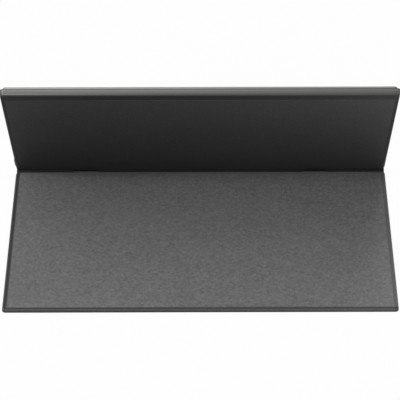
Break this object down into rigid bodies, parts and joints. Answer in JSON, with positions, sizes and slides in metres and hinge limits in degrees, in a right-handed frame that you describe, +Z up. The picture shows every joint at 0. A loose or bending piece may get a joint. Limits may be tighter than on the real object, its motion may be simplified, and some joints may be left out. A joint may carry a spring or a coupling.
{
  "type": "portable monitor with hinged cover",
  "caption": "Slim flat display in a grained cover, standing at a steep lean on a flap that folds right round it on a two-axis hinge.",
  "frame": {"origin": "middle of the flap's underside, where the object rests on the table", "axes": "+Z up, +X along the fold, -Y towards the flap's free edge; the screen faces away over +Y"},
  "size_m": [0.3216, 0.2221, 0.1642],
  "materials": {
    "cover_skin": "fine cross-hatched grain, matt",
    "lining": "brushed microfibre",
    "board": "stiff pressed board",
    "casing": "satin moulding, dark",
    "bezel": "satin moulding, dark",
    "screen": "antiglare, dark when off",
    "film": "white optical film and tape",
    "clear": "clear moulded",
    "circuit": "solder resist",
    "flex": "amber film",
    "led": "white bodies with yellow faces",
    "tray_steel": "bare pressed sheet",
    "hinge_steel": "blackened and oiled",
    "screw_steel": "blackened",
    "plated": "plated socket shell",
    "magnet": "plated magnet",
    "switch_black": "moulded",
    "bumper": "soft moulded",
    "spine": "black anodised"
  },
  "bodies": {
    "monitor": {"back_skin": "cover_skin", "back_adhesive": "film", "rear_housing": "casing", "front_bezel": "bezel", "bezel_bumpers": "bumper", "display_cell": "screen", "diffuser_films": "film", "light_guide": "clear", "reflector_sheet": "film", "led_strip": "led", "panel_frame": "film", "backlight_tray": "tray_steel", "panel_tape": "film", "driver_board": "circuit", "cell_flex": "flex", "panel_cable": "film", "main_board": "circuit", "board_shield": "tray_steel", "lower_socket": "plated", "upper_socket": "plated", "key_board": "circuit", "key_switches": "switch_black", "key_flex": "flex", "light_pipe": "clear", "board_screws": "screw_steel", "leaf_screws": "screw_steel", "monitor_leaf_left": "hinge_steel", "monitor_leaf_right": "hinge_steel", "closing_magnets": "magnet"},
    "spine": {"spine_bar": "spine", "spine_caps": "casing", "monitor_pins": "hinge_steel", "flap_pins": "hinge_steel", "monitor_washers": "hinge_steel", "flap_washers": "hinge_steel"},
    "flap": {"flap_skin": "cover_skin", "flap_core": "board", "flap_lining": "lining", "flap_leaf_left": "hinge_steel", "flap_leaf_right": "hinge_steel", "flap_rivets": "hinge_steel", "flap_magnets": "magnet"},
    "power_key": {"power_key": "casing"},
    "dimmer_key": {"dimmer_key": "casing"},
    "brighter_key": {"brighter_key": "casing"}
  },
  "joints": [
    {"name": "spine_fold", "type": "hinge", "parent": "monitor", "child": "spine", "pos_m": [0, 0.11341, 0.00438], "axis": [1, 0, 0], "range_deg": [0, 195]},
    {"name": "flap_fold", "type": "hinge", "parent": "spine", "child": "flap", "pos_m": [0, 0.10775, 0.0015], "axis": [1, 0, 0], "range_deg": [-48, 117]},
    {"name": "power_key_press", "type": "slide", "parent": "monitor", "child": "power_key", "axis": [1, 0, 0], "range_m": [0, 0.0005], "stiffness_N_per_m": 1600, "springref_m": -0.0005},
    {"name": "dimmer_key_press", "type": "slide", "parent": "monitor", "child": "dimmer_key", "axis": [1, 0, 0], "range_m": [0, 0.0005], "stiffness_N_per_m": 1600, "springref_m": -0.0005},
    {"name": "brighter_key_press", "type": "slide", "parent": "monitor", "child": "brighter_key", "axis": [1, 0, 0], "range_m": [0, 0.0005], "stiffness_N_per_m": 1600, "springref_m": -0.0005}
  ]
}
